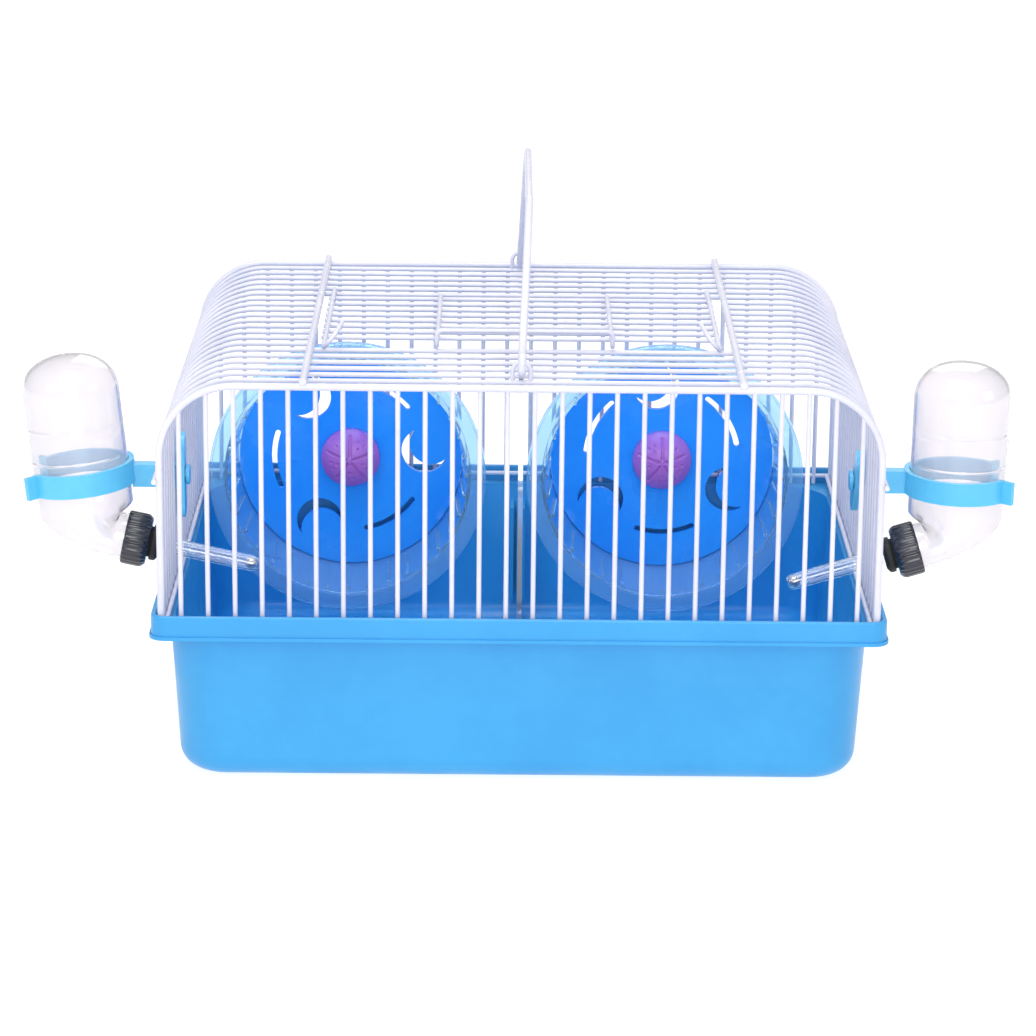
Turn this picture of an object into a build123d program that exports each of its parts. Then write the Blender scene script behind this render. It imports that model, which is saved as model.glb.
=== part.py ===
"""Hamster cage: plastic tray, lift-off wire top with a roof door, carrying handle,
two running wheels and two drinking bottles in clip-on rings.

Millimetres, +Z up, +Y from the front panel to the back panel, +X to the right.
The origin is the middle of the tray's flat underside.
"""

from build123d import *
import os
from math import cos, radians, sin, sqrt, tan

os.makedirs("parts", exist_ok=True)

# ---- driving dimensions ---------------------------------------------------
# wire top
WIRE_R = 1.0  # panel, hoop and rail wires
FRAME_R = 1.5  # the two bent end frames and the roof's cross wires
PITCH = 11.0  # spacing of the upright wires
UPRIGHTS = 26  # upright wires in each end panel
HALF_WIDTH = 145.6  # frame legs, from the middle
HALF_DEPTH = 115.5  # end frames, from the middle
ROOF_Z = 168.6  # middle of the roof wires
BEND_R = 30.0  # roof corners, at the wire's middle
WIRE_FOOT_Z = 66.3  # lower ends of the upright wires, in the tray's channel
SILL_Z = 70.0  # horizontal wires round the bottom
RAIL_Z = 129.0  # stiffening rails outside the sides
HOOPS = 21  # hoops between the two end frames
CROSS_LEFT_X, CROSS_RIGHT_X = -87.5, 89.0  # stiffening wires on the roof
WELD = 0.2  # how far welded wires sink into each other
LAID_GAP = 0.02  # hair gap where a side wire lies on the hoops

# roof door
DOOR_FRONT_HOOP, DOOR_BACK_HOOP = 6, 16  # hoops that border the opening
DOOR_HALF = 84.0
DOOR_ROD_R = 0.95
DOOR_ROD_LEFT_X, DOOR_ROD_RIGHT_X = -82.0, 82.5
PULL_LEFT_X, PULL_RIGHT_X = -35.0, 38.0
PULL_HEIGHT = 7.0
DOOR_GAP = 0.3  # between a door rod and the wire that it rests on

# carrying handle
HANDLE_R = 1.6
HANDLE_HEIGHT = 60.0  # above its pivots
HANDLE_LEAN = 2.6  # to the right, in degrees, as it rests against its eyes
HANDLE_TOP_HALF = 72.0  # half length at the top, before rounding
HANDLE_CORNER_R = 34.0
EYE_R = 0.9
EYE_HALF = 3.6

# tray
TRAY_HALF_X, TRAY_HALF_Y = 144.0, 114.0  # body just under the rim
TRAY_H = 73.0
TRAY_WALL = 2.0
TRAY_DRAFT = 3.5
TRAY_CORNER_R = 20.0
TRAY_FOOT_R = 10.0
LEDGE_Z = 66.0  # floor of the channel that the wire top stands in
RIM_HALF_X, RIM_HALF_Y = 150.0, 120.0
RIM_DROP = 10.0
RIM_CORNER_R = 6.0

# divider
DIVIDER_T = 2.0
DIVIDER_HALF = 107.0
DIVIDER_TOP = 165.0

# wheels
WHEEL_X = {"left": -77.0, "right": 66.0}
WHEEL_Z = 82.0
WHEEL_FRONT_Y, WHEEL_DISC_Y = 61.5, 99.0
WHEEL_TURN = {"left": 0.0, "right": -30.0}
FLANGE_R, DRUM_R, DISC_R = 62.4, 55.6, 51.0
DRUM_WALL = 1.6
TREADS = 36
AXLE_R = 3.0
AXLE_GAP = 0.06

# bottles, in their rings' own frames: x towards the cage, z up the bottle
BOTTLE_X, BOTTLE_Y, RING_Z = 184.7, -47.25, 113.0
BOTTLE_TILT = {"left": 6.0, "right": 1.0}
BOTTLE_R = 20.5
BOTTLE_WALL = 1.2
BOTTLE_FOOT, BOTTLE_TOP = -13.4, 51.4  # ends of the straight body and its dome
BOTTLE_DOME_R = 16.0
NECK_X, NECK_Z, NECK_SLOPE = 11.75, -28.0, 18.0
NECK_R = 10.0
TUBE_R, TUBE_BORE, TUBE_MOUTH = 3.45, 2.6, 2.2
TUBE_FROM, TUBE_TO = 8.0, 61.0
BALL_R = 2.5
RING_GAP, RING_T, RING_H = 0.3, 2.2, 9.6
LOCK_TURN = {"left": 0.0, "right": 40.0}
LOCK_X = 141.4

SIDES = {"left": -1, "right": 1}
HOOP_STEP = 2 * HALF_DEPTH / (HOOPS + 1)
BEND_X, BEND_Z = HALF_WIDTH - BEND_R, ROOF_Z - BEND_R


def hoop_y(number):
    """Distance back of a hoop, counted from the front frame."""
    return -HALF_DEPTH + number * HOOP_STEP


def save(part, label):
    """Name a finished piece and write it."""
    part.label = label
    export_step(part, f"parts/{label}.step")


def half_plane(base):
    """Radius along x and height along y, for turned shapes about a frame's own z."""
    return Plane(base.origin, x_dir=base.x_dir, z_dir=-base.y_dir)


def turned(frame, points):
    """A solid of revolution about a frame's z, from (radius, height) points."""
    with BuildPart() as piece:
        with BuildSketch(half_plane(frame)):
            with BuildLine():
                Polyline(*points, close=True)
            make_face()
        revolve(axis=Axis(frame.origin, frame.z_dir))
    return piece.part


# ---- tray -----------------------------------------------------------------
draft_in = (LEDGE_Z - TRAY_WALL) * tan(radians(TRAY_DRAFT))
foot_x, foot_y = TRAY_HALF_X - draft_in, TRAY_HALF_Y - draft_in
shell_height = LEDGE_Z - TRAY_WALL

with BuildPart() as tray_core:  # the space inside the tray
    with BuildSketch(Plane.XY.offset(TRAY_WALL)):
        RectangleRounded(2 * (foot_x - TRAY_WALL), 2 * (foot_y - TRAY_WALL), TRAY_CORNER_R - TRAY_WALL)
    extrude(amount=TRAY_H, taper=-TRAY_DRAFT)
    core_floor = tray_core.faces().sort_by(Axis.Z)[0]
    fillet(core_floor.edges(), TRAY_FOOT_R - TRAY_WALL)

# two pairs of ribs that guide the divider, run into the end walls and cut to their slope
with BuildPart() as guide_ribs:
    rib_t, rib_low, rib_high, rib_reach = 1.6, 14.0, 58.0, 9.0
    rib_x = DIVIDER_T / 2 + 0.8 + rib_t / 2
    with Locations((0, 0, rib_low)):
        with GridLocations(2 * rib_x, 2 * DIVIDER_HALF, 2, 2):
            Box(rib_t, 2 * rib_reach, rib_high - rib_low, align=(Align.CENTER, Align.CENTER, Align.MIN))
    with BuildSketch():
        Rectangle(2 * foot_x, 2 * foot_y - 1)
    extrude(amount=rib_high, taper=-TRAY_DRAFT, mode=Mode.INTERSECT)

with BuildPart() as tray:
    with BuildSketch():
        RectangleRounded(2 * foot_x, 2 * foot_y, TRAY_CORNER_R)
    extrude(amount=shell_height, taper=-TRAY_DRAFT)
    tray_floor = tray.faces().sort_by(Axis.Z)[0]
    fillet(tray_floor.edges(), TRAY_FOOT_R)
    # channel floor, then the lip round it
    with BuildSketch(Plane.XY.offset(LEDGE_Z - TRAY_WALL)):
        RectangleRounded(2 * RIM_HALF_X - 1, 2 * RIM_HALF_Y - 1, RIM_CORNER_R - 0.5)
    extrude(amount=TRAY_WALL)
    with BuildSketch(Plane.XY.offset(TRAY_H - RIM_DROP)):
        RectangleRounded(2 * RIM_HALF_X, 2 * RIM_HALF_Y, RIM_CORNER_R)
        lip_x, lip_y = RIM_HALF_X - TRAY_WALL, RIM_HALF_Y - TRAY_WALL
        RectangleRounded(2 * lip_x, 2 * lip_y, RIM_CORNER_R - TRAY_WALL, mode=Mode.SUBTRACT)
    extrude(amount=RIM_DROP)
    top_edges = tray.faces().sort_by(Axis.Z)[-1].edges()
    fillet(top_edges, 0.7)
    # bead along the lip's lower edge
    with BuildSketch(Plane.XY.offset(TRAY_H - RIM_DROP)):
        RectangleRounded(2 * RIM_HALF_X + 1.6, 2 * RIM_HALF_Y + 1.6, RIM_CORNER_R + 0.8)
        RectangleRounded(2 * RIM_HALF_X - 2, 2 * RIM_HALF_Y - 2, RIM_CORNER_R - 1, mode=Mode.SUBTRACT)
    extrude(amount=1.4)
    add(tray_core.part, mode=Mode.SUBTRACT)
    add(guide_ribs.part)
save(tray.part, "tray")

# ---- divider --------------------------------------------------------------
with BuildPart() as divider:
    with BuildSketch(Plane.YZ.offset(-DIVIDER_T / 2)):
        with Locations((0, (DIVIDER_TOP + TRAY_WALL) / 2)):
            sheet = Rectangle(2 * DIVIDER_HALF, DIVIDER_TOP - TRAY_WALL)
        low_corners = sheet.vertices().group_by(Axis.Y)[0]
        fillet(low_corners, 17)
        high_corners = sheet.vertices().group_by(Axis.Y)[-1]
        fillet(high_corners, 8)
    extrude(amount=DIVIDER_T)
save(divider.part, "divider")

# ---- wire top: the two end panels -----------------------------------------


def frame_height(x):
    """Height of the bent frame's middle line at a distance across."""
    past = abs(x) - BEND_X
    return ROOF_Z if past <= 0 else BEND_Z + sqrt(BEND_R**2 - past**2)


def make_end_panel(y):
    """One welded end: bent frame, upright wires and the sill wire."""
    with BuildPart() as panel:
        with BuildLine(Plane.XZ.offset(-y)) as outline:
            FilletPolyline(
                (-HALF_WIDTH, WIRE_FOOT_Z),
                (-HALF_WIDTH, ROOF_Z),
                (HALF_WIDTH, ROOF_Z),
                (HALF_WIDTH, WIRE_FOOT_Z),
                radius=BEND_R,
            )
        with BuildSketch(Plane((-HALF_WIDTH, y, WIRE_FOOT_Z))):
            Circle(FRAME_R)
        sweep(path=outline.line)
        for number in range(UPRIGHTS):
            x = (number - (UPRIGHTS - 1) / 2) * PITCH
            with Locations((x, y, WIRE_FOOT_Z)):
                height = frame_height(x) - WIRE_FOOT_Z
                Cylinder(WIRE_R, height, align=(Align.CENTER, Align.CENTER, Align.MIN))
        with Locations((0, y, SILL_Z)):
            Cylinder(WIRE_R, 2 * HALF_WIDTH, rotation=(0, 90, 0))
    return panel.part


save(make_end_panel(-HALF_DEPTH), "front_panel")
save(make_end_panel(HALF_DEPTH), "back_panel")

# ---- wire top: hoops, in straight runs and bends --------------------------
hoop_numbers = range(1, HOOPS + 1)
full_hoops = [n for n in hoop_numbers if n <= DOOR_FRONT_HOOP or n >= DOOR_BACK_HOOP]
cut_hoops = [n for n in hoop_numbers if DOOR_FRONT_HOOP < n < DOOR_BACK_HOOP]


def make_side_grille(side):
    """The hoops' upright legs on one side, each its own wire, with the inner sill and the outer rail."""
    x = side * HALF_WIDTH
    beside = side * (2 * WIRE_R + LAID_GAP)
    with BuildPart() as grille:
        with BuildSketch(Plane.XY.offset(WIRE_FOOT_Z)):
            with Locations(*[(x, hoop_y(n)) for n in hoop_numbers]):
                Circle(WIRE_R)
        extrude(amount=BEND_Z - WIRE_FOOT_Z)
        with Locations((x - beside, 0, SILL_Z)):
            Cylinder(WIRE_R, 2 * HALF_DEPTH, rotation=(90, 0, 0))
        with Locations((x + beside, 0, RAIL_Z)):
            Cylinder(WIRE_R, 2 * HALF_DEPTH + 5, rotation=(90, 0, 0))
    return grille.part


def make_bends(side):
    """The quarter bend of every hoop at one roof corner."""
    with BuildPart() as bends:
        with BuildSketch(Plane.XY.offset(BEND_Z)):
            with Locations(*[(side * HALF_WIDTH, hoop_y(n)) for n in hoop_numbers]):
                Circle(WIRE_R)
        revolve(axis=Axis((side * BEND_X, 0, BEND_Z), (0, -side, 0)), revolution_arc=90)
    return bends.part


with BuildPart() as roof_wires:
    with BuildSketch(Plane.YZ.offset(-BEND_X)):
        with Locations(*[(hoop_y(n), ROOF_Z) for n in full_hoops]):
            Circle(WIRE_R)
    extrude(amount=2 * BEND_X)
    # the cut hoops end under the cross wires, beside the door
    for start, length in ((-BEND_X, BEND_X + CROSS_LEFT_X + 1), (CROSS_RIGHT_X - 1, BEND_X - CROSS_RIGHT_X + 1)):
        with BuildSketch(Plane.YZ.offset(start)):
            with Locations(*[(hoop_y(n), ROOF_Z) for n in cut_hoops]):
                Circle(WIRE_R)
        extrude(amount=length)

cross_z = ROOF_Z + WIRE_R + FRAME_R - WELD
with BuildPart() as roof_cross_wires:
    with Locations((CROSS_LEFT_X, 0, cross_z), (CROSS_RIGHT_X, 0, cross_z)):
        Cylinder(FRAME_R, 2 * HALF_DEPTH + 3, rotation=(90, 0, 0))

save(roof_wires.part, "roof_wires")
save(roof_cross_wires.part, "roof_cross_wires")
for side_name, side in SIDES.items():
    save(make_side_grille(side), f"{side_name}_side_wires")
    save(make_bends(side), f"{side_name}_roof_bends")

# ---- carrying handle and its two eyes -------------------------------------
eye_y = hoop_y(HOOPS)
eye_top = ROOF_Z + WIRE_R + HANDLE_R + 2.0
pivot_z = eye_top - 0.1


def make_eye(y):
    """A small staple on top of a hoop, which the handle's end goes through."""
    with BuildPart() as eye:
        with BuildLine(Plane.XZ.offset(-y)) as staple:
            Line((-EYE_HALF, ROOF_Z + 0.6), (-EYE_HALF, eye_top))
            ThreePointArc((-EYE_HALF, eye_top), (0, eye_top + EYE_HALF), (EYE_HALF, eye_top))
            Line((EYE_HALF, eye_top), (EYE_HALF, ROOF_Z + 0.6))
        with BuildSketch(Plane((-EYE_HALF, y, ROOF_Z + 0.6))):
            Circle(EYE_R)
        sweep(path=staple.line)
    return eye.part


save(make_eye(-eye_y), "front_handle_eye")
save(make_eye(eye_y), "back_handle_eye")

lean = radians(HANDLE_LEAN)
handle_plane = Plane((0, 0, pivot_z), x_dir=(0, 1, 0), z_dir=(cos(lean), 0, -sin(lean)))
with BuildPart() as handle:
    hook_out, hook_in, hook_rise = eye_y + 5.0, eye_y - 5.5, 8.0
    with BuildLine(handle_plane) as bail:
        FilletPolyline(
            (-hook_out, hook_rise),
            (-hook_out, 0),
            (-hook_in, 0),
            (-HANDLE_TOP_HALF, HANDLE_HEIGHT),
            (HANDLE_TOP_HALF, HANDLE_HEIGHT),
            (hook_in, 0),
            (hook_out, 0),
            (hook_out, hook_rise),
            radius=[2.2, 2.2, HANDLE_CORNER_R, HANDLE_CORNER_R, 2.2, 2.2],
        )
    with BuildSketch(Plane(bail.line @ 0, z_dir=-handle_plane.y_dir)):
        Circle(HANDLE_R)
    sweep(path=bail.line)
save(handle.part, "carrying_handle")

# ---- roof door ------------------------------------------------------------
door_y = hoop_y(DOOR_BACK_HOOP)  # the door turns about this hoop
rod_z = ROOF_Z + WIRE_R + DOOR_GAP + DOOR_ROD_R
slat_z = rod_z - DOOR_ROD_R - WIRE_R + WELD
latch_y = hoop_y(DOOR_FRONT_HOOP)
with BuildPart() as door_panel:
    with BuildSketch(Plane.YZ.offset(-DOOR_HALF)):
        first_slat, last_slat = DOOR_FRONT_HOOP + 2, DOOR_BACK_HOOP - 1
        with Locations(*[(hoop_y(n), slat_z) for n in range(first_slat, last_slat + 1)]):
            Circle(WIRE_R)
    extrude(amount=2 * DOOR_HALF)
    for x in (DOOR_ROD_LEFT_X, DOOR_ROD_RIGHT_X):
        # side rod, and its eye round the hinge wire
        with BuildSketch(Plane.XZ.offset(-door_y)):
            with Locations((x, rod_z)):
                Circle(DOOR_ROD_R)
        extrude(amount=door_y - latch_y + 2)
        with BuildSketch(Plane.XZ.offset(-door_y)):
            with Locations((x, rod_z)):
                Circle(DOOR_ROD_R)
        revolve(axis=Axis((x, door_y, ROOF_Z), (1, 0, 0)), revolution_arc=-300)

# the finger pull: two rods along the door that rise into a bar over the latch wire
with BuildPart() as door_pull:
    pull_y = latch_y - 2.0
    rear_y = hoop_y(DOOR_BACK_HOOP - 1)
    with BuildLine() as pull_line:
        FilletPolyline(
            (PULL_LEFT_X, rear_y, rod_z),
            (PULL_LEFT_X, pull_y, rod_z),
            (PULL_LEFT_X, pull_y, rod_z + PULL_HEIGHT),
            (PULL_RIGHT_X, pull_y, rod_z + PULL_HEIGHT),
            (PULL_RIGHT_X, pull_y, rod_z),
            (PULL_RIGHT_X, rear_y, rod_z),
            radius=2.5,
        )
    with BuildSketch(Plane.XZ.offset(-rear_y)):
        with Locations((PULL_LEFT_X, rod_z)):
            Circle(DOOR_ROD_R)
    sweep(path=pull_line.line)


def make_latch_hook(x, inward):
    """The finger hook at the front end of a door rod, turned up and inwards."""
    start = Vector(x, latch_y - 2, rod_z)
    lean = Vector(inward * cos(radians(50)), 0, sin(radians(50)))
    forward = Vector(0, -1, 0)
    hook_plane = Plane(start, x_dir=forward, z_dir=forward.cross(lean))
    with BuildPart() as hook:
        with BuildLine(hook_plane) as curl:
            bow = CenterArc((0, 4.5), 4.5, -90, 155)
            Line(bow @ 1, (bow @ 1) + (bow % 1) * 8)
        with BuildSketch(Plane(start, z_dir=forward)):
            Circle(DOOR_ROD_R)
        sweep(path=curl.line)
    return hook.part


save(door_panel.part, "door_panel")
save(door_pull.part, "door_pull")
save(make_latch_hook(DOOR_ROD_LEFT_X, 1), "left_door_hook")
save(make_latch_hook(DOOR_ROD_RIGHT_X, -1), "right_door_hook")

# ---- wheels ---------------------------------------------------------------


def wheel_frame(x):
    """The axle's frame: z runs back along it, from the cage's middle."""
    return Plane((x, 0, WHEEL_Z), x_dir=(1, 0, 0), z_dir=(0, 1, 0))


def make_drum(x):
    """Clear running drum: front flange, wall with treads and a seat for the disc."""
    inner = DRUM_R - DRUM_WALL
    seat = DISC_R + 0.4
    depth = 26.0
    shell = turned(
        wheel_frame(x),
        [
            (inner, WHEEL_FRONT_Y),
            (FLANGE_R, WHEEL_FRONT_Y),
            (FLANGE_R, WHEEL_FRONT_Y + 3),
            (FLANGE_R - 1.2, WHEEL_FRONT_Y + 3),
            (FLANGE_R - 1.2, WHEEL_FRONT_Y + 1.6),
            (DRUM_R, WHEEL_FRONT_Y + 1.6),
            (seat + DRUM_WALL, WHEEL_DISC_Y),
            (seat + DRUM_WALL, WHEEL_DISC_Y + 4),
            (DISC_R - 2.5, WHEEL_DISC_Y + 4),
            (DISC_R - 2.5, WHEEL_DISC_Y + 2.5),
            (seat, WHEEL_DISC_Y + 2.5),
            (seat, WHEEL_DISC_Y),
        ],
    )
    with BuildPart() as drum:
        add(shell)
        with Locations(wheel_frame(x).offset(WHEEL_FRONT_Y + 4 + depth / 2)):
            with PolarLocations(inner - 0.6, TREADS):
                Box(1.6, 1.4, depth)
    return drum.part


def slot_arc(radius, width, middle, span):
    """A thin curved slot about the wheel's middle."""
    with BuildLine(mode=Mode.PRIVATE) as centre:
        CenterArc((0, 0), radius, middle - span / 2, span)
    SlotArc(centre.line.edge(), width, mode=Mode.SUBTRACT)


def crescent(radius, middle):
    """A crescent slot that opens outwards, leaning from its own radius."""
    moon_r, bite_r, bite, lean = 10.5, 9.8, 4.4, 42.0
    place = (radius * cos(radians(middle)), radius * sin(radians(middle)), 0)
    with Locations(Location(place, (0, 0, middle + lean))):
        with BuildSketch(mode=Mode.PRIVATE) as moon:
            Circle(moon_r)
            with Locations((bite, 0)):
                Circle(bite_r, mode=Mode.SUBTRACT)
        add(moon.sketch, mode=Mode.SUBTRACT)


def make_disc(x, turn):
    """Blue back disc with a turned hub; slots let air and grip through."""
    face = Plane((x, WHEEL_DISC_Y + 2.5, WHEEL_Z), x_dir=(1, 0, 0), z_dir=(0, -1, 0))
    bore = AXLE_R + AXLE_GAP
    front, back = WHEEL_DISC_Y - 3.7, WHEEL_DISC_Y + 7.8
    hub = turned(wheel_frame(x), [(bore, front), (7.0, front), (7.0, back), (bore, back)])
    with BuildPart() as disc:
        with BuildSketch(face):
            Circle(DISC_R)
            for third in range(3):
                crescent(34.0, turn + 125 + 120 * third)
                slot_arc(35.0, 2.4, turn + 63 + 120 * third, 42)
        extrude(amount=2.5)
        add(hub)
        with Locations(face):
            Cylinder(bore, 20, mode=Mode.SUBTRACT)
    return disc.part


def make_hub_cap(x):
    """Domed cap over the axle's head, with five shallow grooves."""
    cap_r, cap_h, groove = 13.4, 9.5, 1.6
    back = wheel_frame(x).offset(WHEEL_DISC_Y)
    front = back.offset(-cap_h)
    with BuildPart() as cap:
        with BuildSketch(front):
            Circle(cap_r)
        extrude(amount=cap_h)
        dome_edge = cap.faces().sort_by(Axis.Y)[0].edges()
        fillet(dome_edge, 7.0)
        with BuildSketch(back.offset(-7.0)):
            Circle(8.0)
        extrude(amount=7.0, mode=Mode.SUBTRACT)
        with Locations(front):
            with PolarLocations(5.4, 5, start_angle=18):
                Box(9.0, 0.9, 2 * groove, mode=Mode.SUBTRACT)
    return cap.part


def make_axle(x):
    """Headed bolt through the wheel's hub and the back wires."""
    head_y, tail_y = WHEEL_DISC_Y - 6.0, HALF_DEPTH + 5.2
    return turned(
        wheel_frame(x),
        [
            (0, head_y),
            (5.0, head_y),
            (5.0, head_y + 2),
            (AXLE_R, head_y + 2),
            (AXLE_R, tail_y),
            (0, tail_y),
        ],
    )


def make_round_plate(x, start, steps):
    """A stepped round plate on the axle, from (radius, thickness) steps front to back."""
    face = Plane((x, start, WHEEL_Z), x_dir=(1, 0, 0), z_dir=(0, 1, 0))
    with BuildPart() as plate:
        reached = 0.0
        for radius, thickness in steps:
            with BuildSketch(face.offset(reached)):
                Circle(radius)
                Circle(AXLE_R, mode=Mode.SUBTRACT)
            extrude(amount=thickness)
            reached += thickness
    return plate.part


clamp_y = HALF_DEPTH - WIRE_R - 7.3
for side_name, x in WHEEL_X.items():
    save(make_drum(x), f"{side_name}_wheel_drum")
    save(make_disc(x, WHEEL_TURN[side_name]), f"{side_name}_wheel_disc")
    save(make_hub_cap(x), f"{side_name}_hub_cap")
    save(make_axle(x), f"{side_name}_wheel_axle")
    save(make_round_plate(x, clamp_y, [(21.0, 2.6), (8.0, 4.6)]), f"{side_name}_wheel_clamp")
    save(make_round_plate(x, HALF_DEPTH + WIRE_R + 0.1, [(8.0, 2.6)]), f"{side_name}_clamp_nut")

# ---- bottles, caps, rings and lock plates ---------------------------------


def bottle_frame(side, tilt):
    """The ring's plane: x towards the cage, z up the tilted bottle."""
    up = Vector(side * sin(radians(tilt)), 0, cos(radians(tilt)))
    inward = Vector(-side * cos(radians(tilt)), 0, sin(radians(tilt)))
    return Plane((side * BOTTLE_X, BOTTLE_Y, RING_Z), x_dir=inward, z_dir=up)


def neck_frame(base):
    """The plane at the neck's root, z out along the drinking tube."""
    slope = radians(NECK_SLOPE)
    root = base.from_local_coords(Vector(NECK_X, 0, NECK_Z))
    along = base.x_dir * cos(slope) - base.z_dir * sin(slope)
    return Plane(root, x_dir=base.y_dir, z_dir=along)


def make_bottle_solid(base, neck, inset):
    """A bottle's outer shape, or the space inside it when inset by the wall."""
    body_r, neck_r = BOTTLE_R - inset, NECK_R - inset
    with BuildPart() as bottle:
        # elbow from the round body down to the slanted neck
        with BuildSketch(base.offset(BOTTLE_FOOT)):
            Circle(body_r)
        with BuildSketch(neck):
            Circle(neck_r)
        loft()
        # body with its domed top
        with BuildSketch(base.offset(BOTTLE_FOOT)):
            Circle(body_r)
        extrude(amount=BOTTLE_TOP - inset - BOTTLE_FOOT)
        crown = bottle.faces().sort_by(Axis(base.origin, base.z_dir))[-1]
        fillet(crown.edges(), BOTTLE_DOME_R - inset)
        # neck
        with BuildSketch(neck):
            Circle(neck_r)
        extrude(amount=12.0 + inset)
    return bottle.part


def make_bottle(base, neck):
    """Clear bottle, open at its neck."""
    with BuildPart() as bottle:
        add(make_bottle_solid(base, neck, 0.0))
        add(make_bottle_solid(base, neck, BOTTLE_WALL), mode=Mode.SUBTRACT)
    return bottle.part


def make_cap(neck):
    """Black screw cap: skirt over the neck and a front wall round the stopper."""
    bore, skirt = NECK_R + 0.06, NECK_R + 1.4
    return turned(
        neck,
        [
            (bore, 3.5),
            (skirt, 3.5),
            (skirt, 12.4),
            (skirt - 1.0, 14.0),
            (6.5, 14.0),
            (6.5, 12.2),
            (bore, 12.2),
        ],
    )


def make_stopper(neck):
    """Black rubber stopper in the cap, gripping the tube."""
    return turned(
        neck,
        [
            (TUBE_R, 9.5),
            (6.5, 9.5),
            (6.5, 15.0),
            (7.6, 15.0),
            (7.6, 17.5),
            (5.6, 18.8),
            (TUBE_R, 18.8),
        ],
    )


def make_tube(neck):
    """Clear drinking tube, narrowed at its mouth to keep the ball in."""
    return turned(
        neck,
        [
            (TUBE_BORE, TUBE_FROM),
            (TUBE_R, TUBE_FROM),
            (TUBE_R, TUBE_TO - 1),
            (TUBE_R - 0.8, TUBE_TO),
            (TUBE_MOUTH, TUBE_TO),
            (TUBE_MOUTH, TUBE_TO - 0.8),
            (TUBE_BORE, TUBE_TO - 1.6),
        ],
    )


def make_ball(neck):
    """Steel ball that the animal pushes back to drink."""
    with BuildPart(Plane(neck.origin + neck.z_dir * (TUBE_TO - 3.0))) as ball:
        Sphere(BALL_R)
    return ball.part


def make_holder(base, side):
    """Open ring that grips the bottle, and the stem that clips between two side wires."""
    inner, outer = BOTTLE_R + RING_GAP, BOTTLE_R + RING_GAP + RING_T
    mouth = 42.0  # half angle of the ring's opening, away from the cage
    with BuildPart() as holder:
        with BuildSketch(base.offset(-RING_H / 2)):
            with BuildLine():
                CenterArc((0, 0), outer, -180 + mouth, 360 - 2 * mouth)
                CenterArc((0, 0), inner, -180 + mouth, 360 - 2 * mouth)
                for end in (-180 + mouth, 180 - mouth):
                    turn = radians(end)
                    Line((inner * cos(turn), inner * sin(turn)), (outer * cos(turn), outer * sin(turn)))
            make_face()
            for end in (-180 + mouth, 180 - mouth):
                # flared tip
                turn = radians(end)
                middle = (inner + outer) / 2
                with Locations(Location((middle * cos(turn), middle * sin(turn), 0), (0, 0, end))):
                    with Locations((2.4, 0)):
                        Rectangle(7.0, RING_T)
        extrude(amount=RING_H)
        # stem, outer shoulder and the pin that the lock plate turns on
        reach = base.origin.X - side * (outer - 1.0)
        stem = abs(reach) - (LOCK_X + 2.2)
        stem_from = Plane((reach, BOTTLE_Y, RING_Z), x_dir=(0, 1, 0), z_dir=(-side, 0, 0))
        with BuildSketch(stem_from):
            Rectangle(6.4, RING_H)
        extrude(amount=stem)
        shoulder = abs(reach) - (HALF_WIDTH + WIRE_R + 3.4)
        with BuildSketch(stem_from.offset(shoulder)):
            Rectangle(15.0, RING_H)
        extrude(amount=3.2)
        with BuildSketch(stem_from.offset(stem)):
            Circle(2.6)
        extrude(amount=4.4)
        with BuildSketch(stem_from.offset(stem + 3.4)):
            Circle(4.2)
        extrude(amount=1.4)
        add(bottle_bore(base, inner), mode=Mode.SUBTRACT)
    return holder.part


def bottle_bore(base, radius):
    """The round space that the bottle needs through the ring."""
    with BuildPart() as bore:
        with BuildSketch(base.offset(-RING_H)):
            Circle(radius)
        extrude(amount=2 * RING_H)
    return bore.part


def make_lock_plate(side, turn):
    """Oval plate inside the side wires; across the wires it holds the ring."""
    across = (0, cos(radians(turn)), sin(radians(turn)))
    face = Plane((side * (LOCK_X + 1.9), BOTTLE_Y, RING_Z), x_dir=across, z_dir=(-side, 0, 0))
    with BuildPart() as plate:
        with BuildSketch(face):
            SlotOverall(37.0, 10.5, rotation=90)
            Circle(2.66, mode=Mode.SUBTRACT)
        extrude(amount=2.6)
    return plate.part


for side_name, side in SIDES.items():
    base = bottle_frame(side, BOTTLE_TILT[side_name])
    neck = neck_frame(base)
    save(make_bottle(base, neck), f"{side_name}_bottle")
    save(make_cap(neck), f"{side_name}_bottle_cap")
    save(make_stopper(neck), f"{side_name}_stopper")
    save(make_tube(neck), f"{side_name}_drinking_tube")
    save(make_ball(neck), f"{side_name}_tube_ball")
    save(make_holder(base, side), f"{side_name}_bottle_holder")
    save(make_lock_plate(side, LOCK_TURN[side_name]), f"{side_name}_lock_plate")
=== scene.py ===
"""Looks of a two-room hamster cage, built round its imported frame. Metres, +Z up, front at -Y."""

import logging
import math
from collections.abc import Callable, Sequence
from dataclasses import dataclass, field
from enum import Enum

import bmesh
import bpy
from mathutils import Matrix, Vector


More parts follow.
